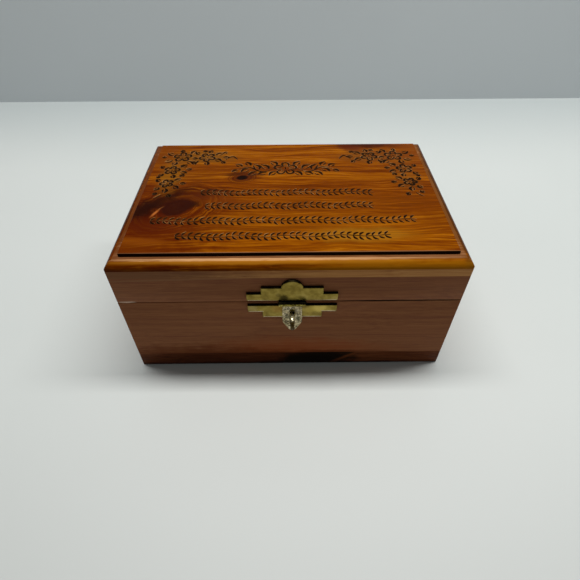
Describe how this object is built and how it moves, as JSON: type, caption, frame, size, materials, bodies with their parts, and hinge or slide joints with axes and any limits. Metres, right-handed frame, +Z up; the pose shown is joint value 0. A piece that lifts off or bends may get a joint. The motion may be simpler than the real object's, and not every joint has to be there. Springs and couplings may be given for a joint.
{
  "type": "keepsake box",
  "caption": "Small hinged cedar box with a moulded lid and a slotted brass hasp over a ring staple.",
  "frame": {"origin": "centre of the case's underside, on the surface that the box stands on", "axes": "+X to the right along the width, +Y to the back where the hinges are, +Z up; the hasp is at the front, -Y"},
  "size_m": [0.152, 0.1124, 0.071],
  "materials": {
    "cedar": "satin lacquer",
    "cedar_top": "gloss lacquer",
    "antique_brass": "antique patina",
    "hinge_brass": "satin",
    "worn_plate": "worn, stippled"
  },
  "bodies": {
    "base": {"bottom_board": "cedar", "base_front_wall": "cedar", "base_back_wall": "cedar", "base_left_wall": "cedar", "base_right_wall": "cedar", "staple_plate": "antique_brass", "staple": "antique_brass", "left_hinge_base_leaf": "hinge_brass", "right_hinge_base_leaf": "hinge_brass", "left_hinge_pin": "hinge_brass", "right_hinge_pin": "hinge_brass", "hinge_screws_base": "hinge_brass"},
    "lid": {"lid_top_board": "cedar_top", "lid_front_rail": "cedar", "lid_back_rail": "cedar", "lid_left_rail": "cedar", "lid_right_rail": "cedar", "left_hinge_lid_leaf": "hinge_brass", "right_hinge_lid_leaf": "hinge_brass", "hinge_screws_lid": "hinge_brass", "hasp_plate": "antique_brass", "hasp_pin": "antique_brass"},
    "hasp_tongue": {"hasp_tongue": "worn_plate"}
  },
  "joints": [
    {"name": "lid_hinge", "type": "hinge", "parent": "base", "child": "lid", "pos_m": [0, 0.0498, 0.04713], "axis": [-1, 0, 0], "range_deg": [0, 100]},
    {"name": "hasp_hinge", "type": "hinge", "parent": "lid", "child": "hasp_tongue", "pos_m": [0.0011, -0.054, 0.04775], "axis": [-1, 0, 0], "range_deg": [0, 180]}
  ]
}
